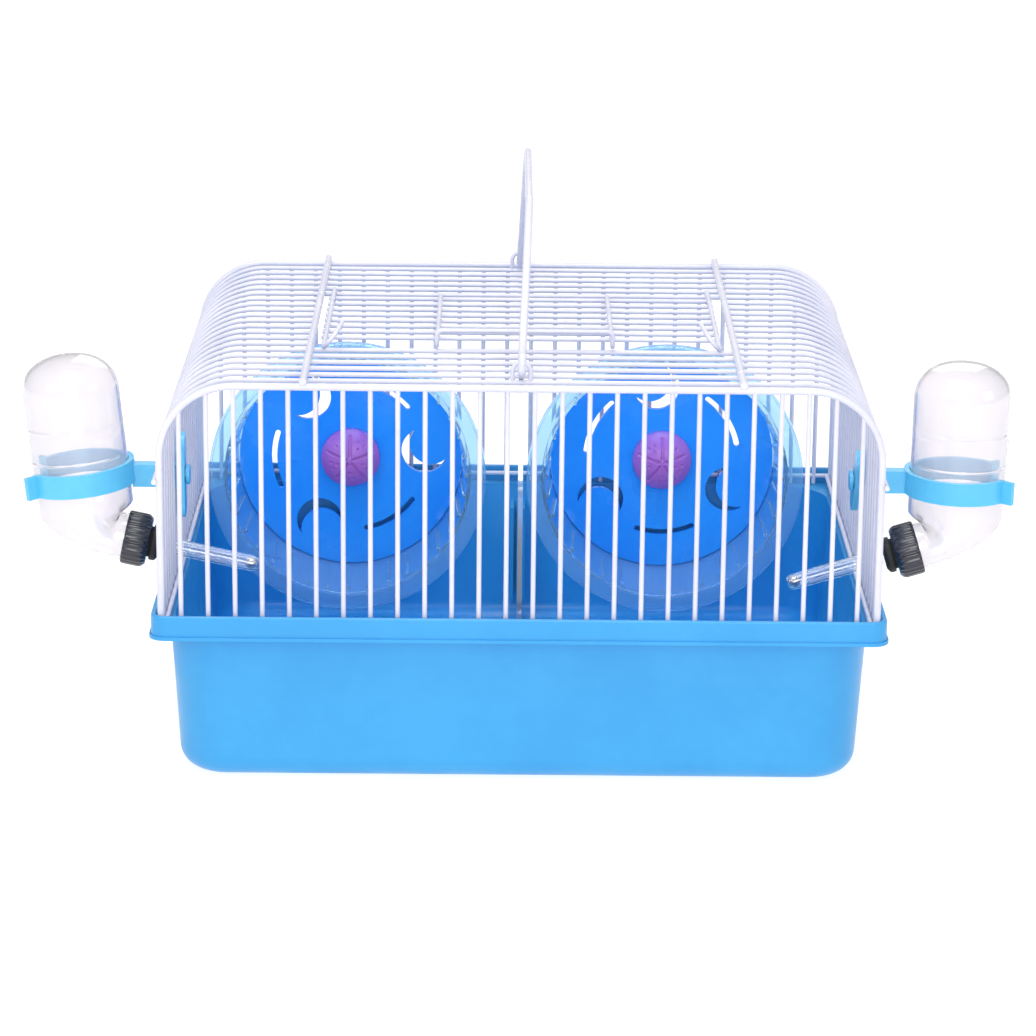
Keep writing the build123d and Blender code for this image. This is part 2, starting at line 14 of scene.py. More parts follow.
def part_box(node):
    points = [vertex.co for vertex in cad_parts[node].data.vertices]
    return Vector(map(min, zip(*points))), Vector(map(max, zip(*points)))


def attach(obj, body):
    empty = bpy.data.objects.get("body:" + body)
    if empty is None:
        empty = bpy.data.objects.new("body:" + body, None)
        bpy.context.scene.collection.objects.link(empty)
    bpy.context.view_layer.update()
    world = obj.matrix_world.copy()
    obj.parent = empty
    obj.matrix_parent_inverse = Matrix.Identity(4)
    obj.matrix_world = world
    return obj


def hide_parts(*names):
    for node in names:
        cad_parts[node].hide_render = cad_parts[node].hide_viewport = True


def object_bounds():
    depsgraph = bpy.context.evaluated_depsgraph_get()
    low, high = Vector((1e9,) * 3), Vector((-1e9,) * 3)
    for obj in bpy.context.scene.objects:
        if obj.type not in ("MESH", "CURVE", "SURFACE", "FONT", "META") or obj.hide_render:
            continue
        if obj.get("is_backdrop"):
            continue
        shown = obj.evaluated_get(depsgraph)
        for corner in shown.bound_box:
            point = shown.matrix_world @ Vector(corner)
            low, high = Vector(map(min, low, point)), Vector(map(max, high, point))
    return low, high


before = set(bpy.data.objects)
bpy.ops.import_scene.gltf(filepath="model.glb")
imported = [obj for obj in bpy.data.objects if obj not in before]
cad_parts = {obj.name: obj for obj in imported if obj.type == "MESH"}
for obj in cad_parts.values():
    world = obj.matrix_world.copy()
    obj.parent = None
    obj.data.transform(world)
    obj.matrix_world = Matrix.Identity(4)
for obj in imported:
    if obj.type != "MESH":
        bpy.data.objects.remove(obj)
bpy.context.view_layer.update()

LOG = logging.getLogger("hamster_cage")
MM = 0.001
Colour = tuple[float, float, float]
Socket = bpy.types.NodeSocket
Piece = bpy.types.Object


class Side(Enum):
    """The two rooms of the cage."""

    LEFT = -1
    RIGHT = 1

    @property
    def word(self) -> str:
        """The side's word in node and body names."""
        return self.name.lower()


class Slot(Enum):
    """Material slots of the record."""

    TRAY = "tray_plastic"
    DIVIDER = "divider_plastic"
    WIRE = "coated_wire"
    DRUM = "clear_plastic"
    DISC = "wheel_disc_plastic"
    HUB = "hub_plastic"
    AXLE = "axle_steel"
    BOTTLE = "bottle_plastic"
    CAP = "cap_plastic"
    STOPPER = "stopper_rubber"
    TUBE = "tube_plastic"
    BALL = "ball_steel"
    HOLDER = "holder_plastic"


# ---- shared effects ---------------------------------------------------------


def linear(red: int, green: int, blue: int) -> Colour:
    """Turns a display colour, 0 to 255, into a scene-linear one.

    Args:
        red: Red, 0 to 255.
        green: Green, 0 to 255.
        blue: Blue, 0 to 255.

    Returns:
        The three linear parts, 0 to 1.
    """
    parts = [value / 255 for value in (red, green, blue)]
    return tuple(p / 12.92 if p <= 0.04045 else ((p + 0.055) / 1.055) ** 2.4 for p in parts)


class NodeSheet:
    """A node tree with short ways to place and join nodes."""

    def __init__(self, tree: bpy.types.NodeTree) -> None:
        """Starts on a tree.

        Args:
            tree: The material's or group's tree.
        """
        self.tree = tree

    def add(self, kind: str, **settings: object) -> bpy.types.Node:
        """Places a node.

        Args:
            kind: Node type, without its ShaderNode prefix.
            **settings: Node properties to set.

        Returns:
            The new node.
        """
        node = self.tree.nodes.new("ShaderNode" + kind)
        for name, value in settings.items():
            setattr(node, name, value)
        return node

    def feed(self, node: bpy.types.Node, **values: object) -> bpy.types.Node:
        """Sets or links a node's inputs; an underscore in a name stands for a space.

        Args:
            node: The node to feed.
            **values: A socket to link, or a constant to set.

        Returns:
            The same node.
        """
        for name, value in values.items():
            self.plug(node.inputs[name.replace("_", " ")], value)
        return node

    def plug(self, target: Socket, value: object) -> None:
        """Links a socket to an input, or sets the input to a constant.

        Args:
            target: The input.
            value: Socket or constant.
        """
        if isinstance(value, Socket):
            self.tree.links.new(value, target)
        else:
            target.default_value = value

    def maths(self, operation: str, first: object, second: object = 0.0) -> Socket:
        """Joins two numbers.

        Args:
            operation: The Math node's operation.
            first: Socket or constant.
            second: Socket or constant.

        Returns:
            The result.
        """
        node = self.add("Math", operation=operation)
        for target, value in zip(node.inputs, (first, second)):
            self.plug(target, value)
        return node.outputs[0]

    def noise(self, place: Socket, scale: object, detail: float = 3.0, rough: float = 0.55) -> Socket:
        """A soft noise over object space.

        Args:
            place: Coordinates.
            scale: Waves in a metre.
            detail: Octaves.
            rough: Weight of the finer octaves.

        Returns:
            The noise, about 0.5.
        """
        node = self.add("TexNoise")
        self.feed(node, Vector=place, Scale=scale, Detail=detail, Roughness=rough)
        return node.outputs["Fac"]

    def span(self, value: Socket, low: float, high: float, to_low: object, to_high: object) -> Socket:
        """Maps a value's range onto another, clamped.

        Args:
            value: The value.
            low: Start of its range.
            high: End of its range.
            to_low: What the start becomes.
            to_high: What the end becomes.

        Returns:
            The mapped value.
        """
        node = self.add("MapRange", interpolation_type="SMOOTHSTEP")
        self.feed(node, Value=value, From_Min=low, From_Max=high, To_Min=to_low, To_Max=to_high)
        return node.outputs["Result"]

    def mix(self, share: object, first: object, second: object) -> Socket:
        """Mixes two colours.

        Args:
            share: How much of the second.
            first: Socket or colour.
            second: Socket or colour.

        Returns:
            The mixed colour.
        """
        node = self.add("Mix", data_type="RGBA")
        for number, value in ((0, share), (6, first), (7, second)):
            self.plug(node.inputs[number], (*value, 1.0) if isinstance(value, tuple) else value)
        return node.outputs[2]


class Effect:
    """A shader node group with named inputs and outputs, made once and placed in many materials."""

    def __init__(self, name: str, inputs: dict[str, object], outputs: dict[str, str],
                 make: Callable[[NodeSheet, bpy.types.Node, bpy.types.Node], None]) -> None:
        """Makes the group.

        Args:
            name: The group's name.
            inputs: Input names with their first values.
            outputs: Output names with their socket types.
            make: Fills the group between its input and output nodes.
        """
        self.tree = bpy.data.node_groups.new(name, "ShaderNodeTree")
        for label, value in inputs.items():
            kind = "NodeSocketColor" if isinstance(value, tuple) else "NodeSocketFloat"
            socket = self.tree.interface.new_socket(label, in_out="INPUT", socket_type=kind)
            socket.default_value = (*value, 1.0) if isinstance(value, tuple) else value
        for label, kind in outputs.items():
            self.tree.interface.new_socket(label, in_out="OUTPUT", socket_type=kind)
        start = self.tree.nodes.new("NodeGroupInput")
        end = self.tree.nodes.new("NodeGroupOutput")
        make(NodeSheet(self.tree), start, end)

    def place(self, sheet: NodeSheet, **values: object) -> bpy.types.Node:
        """Places the group in a material.

        Args:
            sheet: The material's sheet.
            **values: Input values; an underscore stands for a space.

        Returns:
            The group node.
        """
        node = sheet.tree.nodes.new("ShaderNodeGroup")
        node.node_tree = self.tree
        for name, value in values.items():
            plain = (*value, 1.0) if isinstance(value, tuple) else value
            sheet.feed(node, **{name: plain})
        return node


def fill_mould_grain(sheet: NodeSheet, start: bpy.types.Node, end: bpy.types.Node) -> None:
    """Fine spark-eroded grain of a mould, over a slow waviness of the wall.

    Args:
        sheet: The group's sheet.
        start: Its input node.
        end: Its output node.
    """
    place = sheet.add("TexCoord").outputs["Object"]
    pits = sheet.noise(place, start.outputs["Grain Scale"], 4.0, 0.62)
    waves = sheet.noise(place, start.outputs["Wave Scale"], 1.0)
    deep = sheet.maths("MULTIPLY", waves, start.outputs["Wave Height"])
    sheet.feed(end, Height=sheet.maths("ADD", pits, deep))


def fill_colour_drift(sheet: NodeSheet, start: bpy.types.Node, end: bpy.types.Node) -> None:
    """Slow drift between two shades, as in pigmented plastic.

    Args:
        sheet: The group's sheet.
        start: Its input node.
        end: Its output node.
    """
    place = sheet.add("TexCoord").outputs["Object"]
    broad = sheet.noise(place, start.outputs["Scale"], 2.0)
    fine = sheet.noise(place, sheet.maths("MULTIPLY", start.outputs["Scale"], 9.0), 3.0)
    share = sheet.maths("ADD", sheet.maths("MULTIPLY", broad, 0.75), sheet.maths("MULTIPLY", fine, 0.25))
    node = sheet.span(share, 0.36, 0.64, 0.0, 1.0)
    sheet.feed(end, Colour=sheet.mix(node, start.outputs["First"], start.outputs["Second"]))


def fill_settled_dust(sheet: NodeSheet, start: bpy.types.Node, end: bpy.types.Node) -> None:
    """Mask of fine dust lying on surfaces that face up.

    Args:
        sheet: The group's sheet.
        start: Its input node.
        end: Its output node.
    """
    coordinates = sheet.add("TexCoord")
    parts = sheet.add("SeparateXYZ")
    sheet.feed(parts, Vector=coordinates.outputs["Normal"])
    upward = sheet.span(parts.outputs["Z"], 0.55, 0.98, 0.0, 1.0)
    specks = sheet.noise(coordinates.outputs["Object"], start.outputs["Scale"], 6.0, 0.7)
    loose = sheet.span(specks, 0.42, 0.72, 0.0, 1.0)
    amount = sheet.maths("MULTIPLY", sheet.maths("MULTIPLY", upward, loose), start.outputs["Amount"])
    sheet.feed(end, Mask=amount)


def fill_hand_rub(sheet: NodeSheet, start: bpy.types.Node, end: bpy.types.Node) -> None:
    """Mask of hair scratches and polished patches left by handling.

    Args:
        sheet: The group's sheet.
        start: Its input node.
        end: Its output node.
    """
    place = sheet.add("TexCoord").outputs["Object"]
    patches = sheet.span(sheet.noise(place, start.outputs["Patch Scale"], 3.0), 0.4, 0.7, 0.0, 1.0)
    turned = sheet.add("Mapping")
    sheet.feed(turned, Vector=place, Rotation=(0.4, 0.9, 0.7), Scale=(1.0, 14.0, 1.0))
    lines = sheet.noise(turned.outputs["Vector"], start.outputs["Line Scale"], 2.0, 0.4)
    hairs = sheet.span(lines, 0.66, 0.74, 0.0, 1.0)
    sheet.feed(end, Patches=patches, Hairs=sheet.maths("MULTIPLY", hairs, patches))


class Effects:
    """The effects that the cage's finishes share."""

    def __init__(self) -> None:
        """Makes each group once."""
        value, colour = "NodeSocketFloat", "NodeSocketColor"
        self.grain = Effect(
            "mould_grain",
            {"Grain Scale": 2500.0, "Wave Scale": 40.0, "Wave Height": 2.0},
            {"Height": value},
            fill_mould_grain,
        )
        self.drift = Effect(
            "colour_drift",
            {"Scale": 18.0, "First": (0.5, 0.5, 0.5), "Second": (0.5, 0.5, 0.5)},
            {"Colour": colour},
            fill_colour_drift,
        )
        self.dust = Effect(
            "settled_dust", {"Scale": 900.0, "Amount": 0.2}, {"Mask": value}, fill_settled_dust
        )
        self.rub = Effect(
            "hand_rub",
            {"Patch Scale": 30.0, "Line Scale": 120.0},
            {"Patches": value, "Hairs": value},
            fill_hand_rub,
        )


# ---- finishes ---------------------------------------------------------------


def new_finish(name: str) -> tuple[bpy.types.Material, NodeSheet, bpy.types.Node, bpy.types.Node]:
    """Starts a material.

    Args:
        name: The material's name.

    Returns:
        The material, its sheet, its Principled shader and its output.
    """
    material = bpy.data.materials.new(name)
    material.use_nodes = True
    material.node_tree.nodes.clear()
    sheet = NodeSheet(material.node_tree)
    shader = sheet.add("BsdfPrincipled")
    output = sheet.add("OutputMaterial")
    sheet.feed(output, Surface=shader.outputs["BSDF"])
    return material, sheet, shader, output


@dataclass(frozen=True)
class Moulded:
    """Opaque pigmented plastic, coated wire or rubber: drifted colour, mould grain, dust and rub marks."""

    name: str
    colour: Colour
    shade: Colour
    gloss_low: float = 0.28
    gloss_high: float = 0.42
    grain_scale: float = 2600.0
    grain_depth: float = 0.00003
    wave_scale: float = 35.0
    wave_height: float = 2.0
    dust: float = 0.12
    coat: float = 0.0

    def make(self, effects: Effects) -> bpy.types.Material:
        """Builds the material.

        Args:
            effects: The shared effects.

        Returns:
            The material.
        """
        material, sheet, shader, _ = new_finish(self.name)
        drift = effects.drift.place(sheet, Scale=18.0, First=self.colour, Second=self.shade)
        rub = effects.rub.place(sheet)
        dust = effects.dust.place(sheet, Amount=self.dust)
        grain = effects.grain.place(
            sheet, Grain_Scale=self.grain_scale, Wave_Scale=self.wave_scale, Wave_Height=self.wave_height
        )
        powder = linear(226, 224, 220)
        colour = sheet.mix(dust.outputs["Mask"], drift.outputs["Colour"], powder)
        gloss = sheet.span(rub.outputs["Patches"], 0.0, 1.0, self.gloss_low, self.gloss_high)
        dull = sheet.maths("ADD", gloss, sheet.maths("MULTIPLY", dust.outputs["Mask"], 0.5))
        height = sheet.maths("SUBTRACT", grain.outputs["Height"], rub.outputs["Hairs"])
        bump = sheet.add("Bump")
        sheet.feed(bump, Strength=1.0, Distance=self.grain_depth, Height=height)
        sheet.feed(shader, Base_Color=colour, Roughness=dull, Normal=bump.outputs["Normal"])
        sheet.feed(shader, Coat_Weight=self.coat, Coat_Roughness=0.12, IOR=1.5)
        return material


@dataclass(frozen=True)
class Clear:
    """Clear plastic that lets light through to what is inside it."""

    name: str
    tint: Colour
    haze_low: float = 0.015
    haze_high: float = 0.09
    refraction: float = 1.46
    clearness: float = 0.94
    wave_scale: float = 60.0
    wave_depth: float = 0.00012

    def make(self, effects: Effects) -> bpy.types.Material:
        """Builds the material.

        Args:
            effects: The shared effects.

        Returns:
            The material.
        """
        material, sheet, shader, output = new_finish(self.name)
        drift = effects.drift.place(
            sheet, Scale=30.0, First=self.tint, Second=tuple(0.985 * part for part in self.tint)
        )
        rub = effects.rub.place(sheet, Patch_Scale=45.0, Line_Scale=160.0)
        grain = effects.grain.place(
            sheet, Grain_Scale=700.0, Wave_Scale=self.wave_scale, Wave_Height=6.0
        )
        haze = sheet.span(rub.outputs["Patches"], 0.0, 1.0, self.haze_low, self.haze_high)
        bump = sheet.add("Bump")
        height = sheet.maths("SUBTRACT", grain.outputs["Height"], rub.outputs["Hairs"])
        sheet.feed(bump, Strength=1.0, Distance=self.wave_depth * 0.1, Height=height)
        sheet.feed(shader, Base_Color=drift.outputs["Colour"], Roughness=haze)
        sheet.feed(shader, Normal=bump.outputs["Normal"])
        sheet.feed(shader, Metallic=0.0, Transmission_Weight=self.clearness, IOR=self.refraction)
        sheet.feed(shader, Coat_Weight=1.0, Coat_Roughness=0.03, Coat_IOR=1.5)
        # shadows stay light, as behind real clear plastic
        paths = sheet.add("LightPath")
        clear = sheet.add("BsdfTransparent")
        sheet.feed(clear, Color=(*self.tint, 1.0))
        either = sheet.add("MixShader")
        sheet.tree.links.new(paths.outputs["Is Shadow Ray"], either.inputs[0])
        sheet.tree.links.new(shader.outputs["BSDF"], either.inputs[1])
        sheet.tree.links.new(clear.outputs["BSDF"], either.inputs[2])
        sheet.feed(output, Surface=either.outputs["Shader"])
        return material


@dataclass(frozen=True)
class Steel:
    """Plated steel with a drawn grain."""

    name: str
    colour: Colour
    rough_low: float = 0.16
    rough_high: float = 0.34

    def make(self, effects: Effects) -> bpy.types.Material:
        """Builds the material.

        Args:
            effects: The shared effects.

        Returns:
            The material.
        """
        material, sheet, shader, _ = new_finish(self.name)
        drift = effects.drift.place(
            sheet, Scale=80.0, First=self.colour, Second=tuple(0.86 * part for part in self.colour)
        )
        rub = effects.rub.place(sheet, Patch_Scale=220.0, Line_Scale=900.0)
        rough = sheet.span(rub.outputs["Patches"], 0.0, 1.0, self.rough_low, self.rough_high)
        bump = sheet.add("Bump")
        sheet.feed(bump, Strength=0.6, Distance=0.00002, Height=rub.outputs["Hairs"])
        sheet.feed(shader, Base_Color=drift.outputs["Colour"], Roughness=rough, Metallic=1.0)
        sheet.feed(shader, Normal=bump.outputs["Normal"])
        return material


class Finishes:
    """Every finish on the cage, made once."""

    def __init__(self, effects: Effects) -> None:
        """Makes the materials.

        Args:
            effects: The shared effects.
        """
        sky, deep = linear(50, 154, 214), linear(44, 148, 210)
        self.tray = Moulded("sky_blue_polypropylene", sky, deep, 0.3, 0.46, coat=0.05).make(effects)
        self.disc = Moulded(
            "wheel_blue_polystyrene", linear(52, 158, 250), linear(42, 148, 246), 0.16, 0.3,
            grain_depth=0.00001, dust=0.05,
        ).make(effects)
        self.hub = Moulded(
            "orchid_plastic", linear(184, 110, 198), linear(174, 100, 192), 0.3, 0.45, dust=0.05
        ).make(effects)
        self.holder = Moulded(
            "ring_blue_plastic", linear(94, 192, 234), linear(84, 184, 230), 0.2, 0.34, coat=0.1
        ).make(effects)
        self.wire = Moulded(
            "white_dipped_wire", linear(214, 214, 228), linear(204, 205, 222), 0.22, 0.38,
            grain_scale=900.0, grain_depth=0.00006, wave_scale=120.0, wave_height=2.0, dust=0.1, coat=0.25,
        ).make(effects)
        self.cap = Moulded(
            "black_cap_plastic", linear(20, 24, 42), linear(14, 17, 32), 0.12, 0.26, dust=0.02, coat=0.5
        ).make(effects)
        self.stopper = Moulded(
            "black_rubber", linear(22, 22, 25), linear(16, 16, 18), 0.5, 0.68, dust=0.08
        ).make(effects)
        self.bottle = Clear("bottle_clear", (0.915, 0.895, 0.915), 0.02, 0.08, 1.22, 0.9).make(effects)
        self.drum = Clear("drum_clear", (0.5, 0.8, 1.0), 0.02, 0.08, 1.1, 0.85).make(effects)
        self.divider = Clear("divider_clear", (0.92, 0.965, 1.0), 0.02, 0.08, 1.14, 0.88).make(effects)
        self.tube = Clear("tube_clear", (0.985, 0.988, 0.995), 0.01, 0.05, 1.3, 0.97).make(effects)
        self.axle = Steel("zinc_plated_steel", (0.62, 0.63, 0.66)).make(effects)
        self.ball = Steel("polished_ball_steel", (0.72, 0.72, 0.74), 0.05, 0.12).make(effects)


# ---- mesh work --------------------------------------------------------------


def skin(rings: Sequence[Sequence[Vector]], loop: bool = False, capped: bool = False) -> bmesh.types.BMesh:
    """Covers a row of rings with quads.

    Args:
        rings: Rings of equal length.
        loop: Join the last ring to the first.
        capped: Close both ends.

    Returns:
        The mesh being built.
    """
    build = bmesh.new()
    rows = [[build.verts.new(point) for point in ring] for ring in rings]
    pairs = list(zip(rows, rows[1:]))
    if loop:
        pairs.append((rows[-1], rows[0]))
    count = len(rows[0])
    for low, high in pairs:
        for column in range(count):
            after = (column + 1) % count
            build.faces.new((low[column], low[after], high[after], high[column]))
    if capped:
        for row in (rows[0], rows[-1]):
            middle = build.verts.new(sum((vert.co for vert in row), Vector()) / count)
            for column in range(count):
                build.faces.new((row[column], row[(column + 1) % count], middle))
    return build


def finish_mesh(name: str, build: bmesh.types.BMesh, place: Matrix, crease: float = 38.0) -> Piece:
    """Turns a mesh in millimetres into a smooth-shaded piece in the frame.

    Args:
        name: The piece's name.
        build: The mesh, in its own frame.
        place: From that frame to the cage's, in millimetres.
        crease: Angle in degrees past which an edge stays sharp.

    Returns:
        The piece.
    """
    bmesh.ops.recalc_face_normals(build, faces=build.faces)
    mesh = bpy.data.meshes.new(name)
    build.to_mesh(mesh)
    build.free()
    mesh.transform(Matrix.Scale(MM, 4) @ place)
    mesh.shade_smooth()
    mesh.set_sharp_from_angle(angle=math.radians(crease))
    piece = bpy.data.objects.new(name, mesh)
    bpy.context.scene.collection.objects.link(piece)
    return piece


def own_frame(origin: Vector, across: Vector, along: Vector) -> Matrix:
    """A frame from its origin, x and z axes.

    Args:
        origin: Its origin.
        across: Its x axis.
        along: Its z axis.

    Returns:
        The matrix from that frame.
    """
    matrix = Matrix((across, along.cross(across), along)).transposed().to_4x4()
    matrix.translation = origin
    return matrix


def circle(radius: float, height: float, columns: int) -> list[Vector]:
    """A level ring about z.

    Args:
        radius: Its radius.
        height: Its height.
        columns: Its points.

    Returns:
        The points.
    """
    turns = [math.tau * number / columns for number in range(columns)]
    return [Vector((radius * math.cos(turn), radius * math.sin(turn), height)) for turn in turns]


def rounded(profile: Sequence[tuple[float, float, float]]) -> list[tuple[float, float]]:
    """Rounds the corners of a closed profile.

    Args:
        profile: Corners as (radius, height, rounding).

    Returns:
        The outline as (radius, height).
    """
    outline = []
    count = len(profile)
    for number, (radius, height, rounding) in enumerate(profile):
        corner = Vector((radius, height))
        back = Vector(profile[number - 1][:2]) - corner
        onward = Vector(profile[(number + 1) % count][:2]) - corner
        reach = min(rounding, 0.45 * back.length, 0.45 * onward.length)
        if reach <= 0:
            outline.append((radius, height))
            continue
        start, end = corner + back.normalized() * reach, corner + onward.normalized() * reach
        for step in range(5):
            share = step / 4
            point = start * (1 - share) ** 2 + corner * 2 * share * (1 - share) + end * share**2
            outline.append((point.x, point.y))
    return outline


def lathe(profile: Sequence[tuple[float, float]], columns: int = 128) -> bmesh.types.BMesh:
    """Turns a closed profile about z.

    Args:
        profile: Outline as (radius, height), clear of the axis.
        columns: Columns round the axis.

    Returns:
        The mesh being built.
    """
    return skin([circle(radius, height, columns) for radius, height in profile], loop=True)


def bent_path(corners: Sequence[Vector], radii: Sequence[float], step: float = 6.0) -> list[Vector]:
    """A run of straights and round bends through given corners.

    Args:
        corners: The two ends and the corners between them.
        radii: Bend radius of each corner.
        step: Degrees of bend for each point.

    Returns:
        The points along the middle line.
    """
    points = [corners[0]]
    for before, corner, after, radius in zip(corners, corners[1:], corners[2:], radii):
        back, onward = (before - corner).normalized(), (after - corner).normalized()
        turn = math.pi - back.angle(onward)
        reach = radius * math.tan(turn / 2)
        centre = corner + (back + onward).normalized() * radius / math.cos(turn / 2)
        start, end = corner + back * reach - centre, corner + onward * reach - centre
        steps = max(2, math.ceil(math.degrees(turn) / step))
        bows = [start.slerp(end, number / steps).normalized() for number in range(steps + 1)]
        points += [centre + bow * radius for bow in bows]
    return [*points, corners[-1]]


def rod(path: Sequence[Vector], radius: float, columns: int = 20, nose: float = 0.5) -> bmesh.types.BMesh:
    """A round rod along a path, with rounded ends.

    Args:
        path: Its middle line.
        radius: Its radius.
        columns: Columns round it.
        nose: Length of each rounded end, in radii.

    Returns:
        The mesh being built.
    """
    first, last = (path[0] - path[1]).normalized(), (path[-1] - path[-2]).normalized()
    steps = [math.radians(angle) for angle in (80, 55, 30)]
    heads = [(path[0] + first * nose * radius * math.sin(a), radius * math.cos(a)) for a in steps]
    tails = [(path[-1] + last * nose * radius * math.sin(a), radius * math.cos(a)) for a in reversed(steps)]
    stations = [*heads, *[(point, radius) for point in path], *tails]
    rings = []
    side = first.orthogonal().normalized()
    for number, (point, size) in enumerate(stations):
        before, after = stations[max(number - 1, 0)][0], stations[min(number + 1, len(stations) - 1)][0]
        ahead = (after - before).normalized()
        side = (side - ahead * side.dot(ahead)).normalized()
        up = ahead.cross(side)
        turns = [math.tau * column / columns for column in range(columns)]
        rings.append([point + (side * math.cos(t) + up * math.sin(t)) * size for t in turns])
    return skin(rings, capped=True)


def box_mm(node: str) -> tuple[Vector, Vector]:
    """A CAD node's corners in millimetres."""
    low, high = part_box(node)
    return low / MM, high / MM


def dress(piece: Piece, material: bpy.types.Material) -> None:
    """Gives a piece one material.

    Args:
        piece: The piece.
        material: Its finish.
    """
    if not piece.material_slots:
        piece.data.materials.append(material)
    for place in piece.material_slots:
        place.material = material


def settle(piece: Piece, body: str, slot: Slot, material: bpy.types.Material, *nodes: str) -> None:
    """Dresses a new piece, lets it ride and hides the CAD nodes that it stands for.

    Args:
        piece: The new piece.
        body: The body that it moves with.
        slot: The record's material slot, not used.
        material: Its finish.
        *nodes: The CAD nodes that it replaces.
    """
    dress(piece, material)
    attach(piece, body)
    if nodes:
        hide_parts(*nodes)
    LOG.info("made %s on %s", piece.name, body)


def keep(material: bpy.types.Material, *nodes: str) -> None:
    """Dresses CAD nodes whose shape is already right.

    Args:
        material: Their finish.
        *nodes: The nodes.
    """
    for node in nodes:
        dress(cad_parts[node], material)
        LOG.info("dressed %s", node)


# ---- sub-assemblies ---------------------------------------------------------


@dataclass
class Base:
    """The tray and the clear divider."""

    finishes: Finishes

    def build(self) -> None:
        """Dresses the tray and the divider."""
        keep(self.finishes.tray, "tray")
        keep(self.finishes.divider, "divider")


@dataclass
class WireTop:
    """The welded and dipped wire top."""

    finishes: Finishes

    def build(self) -> None:
        """Dresses the wires."""
        keep(self.finishes.wire, "front_panel", "back_panel", "roof_wires", "roof_cross_wires")
        keep(self.finishes.wire, "front_handle_eye", "back_handle_eye")
        for side in Side:
            keep(self.finishes.wire, f"{side.word}_side_wires", f"{side.word}_roof_bends")


@dataclass
class RoofDoor:
    """The roof door with its finger pull and latch hooks."""

    finishes: Finishes

    def build(self) -> None:
        """Dresses the door."""
        keep(self.finishes.wire, "door_panel", "door_pull", "left_door_hook", "right_door_hook")


@dataclass
class CarryingHandle:
    """The bent wire handle, hooked through its two eyes."""

    finishes: Finishes
    rod_radius: float = 1.6
    height: float = 60.0
    lean: float = 2.6
    top_half: float = 72.0
    corner_radius: float = 34.0
    hook_radius: float = 2.2
    hook_inset: float = 10.5
    hook_rise: float = 8.0

    def build(self) -> None:
        """Builds the handle upright over its pivot, then leans it."""
        low, high = box_mm("carrying_handle")
        outer = high.y - self.rod_radius
        inner = outer - self.hook_inset
        half = [
            Vector((0, outer, self.hook_rise)),
            Vector((0, outer, 0)),
            Vector((0, inner, 0)),
            Vector((0, self.top_half, self.height)),
        ]
        corners = half + [Vector((0, -point.y, point.z)) for point in reversed(half)]
        bends = [self.hook_radius, self.hook_radius, self.corner_radius]
        path = bent_path(corners, bends + bends[::-1], 4.0)
        pivot = Matrix.Translation((0, 0, low.z + self.rod_radius))
        place = pivot @ Matrix.Rotation(math.radians(self.lean), 4, "Y")
        piece = finish_mesh("wire_handle", rod(path, self.rod_radius, 28), place)
        settle(piece, "handle", Slot.WIRE, self.finishes.wire, "carrying_handle")


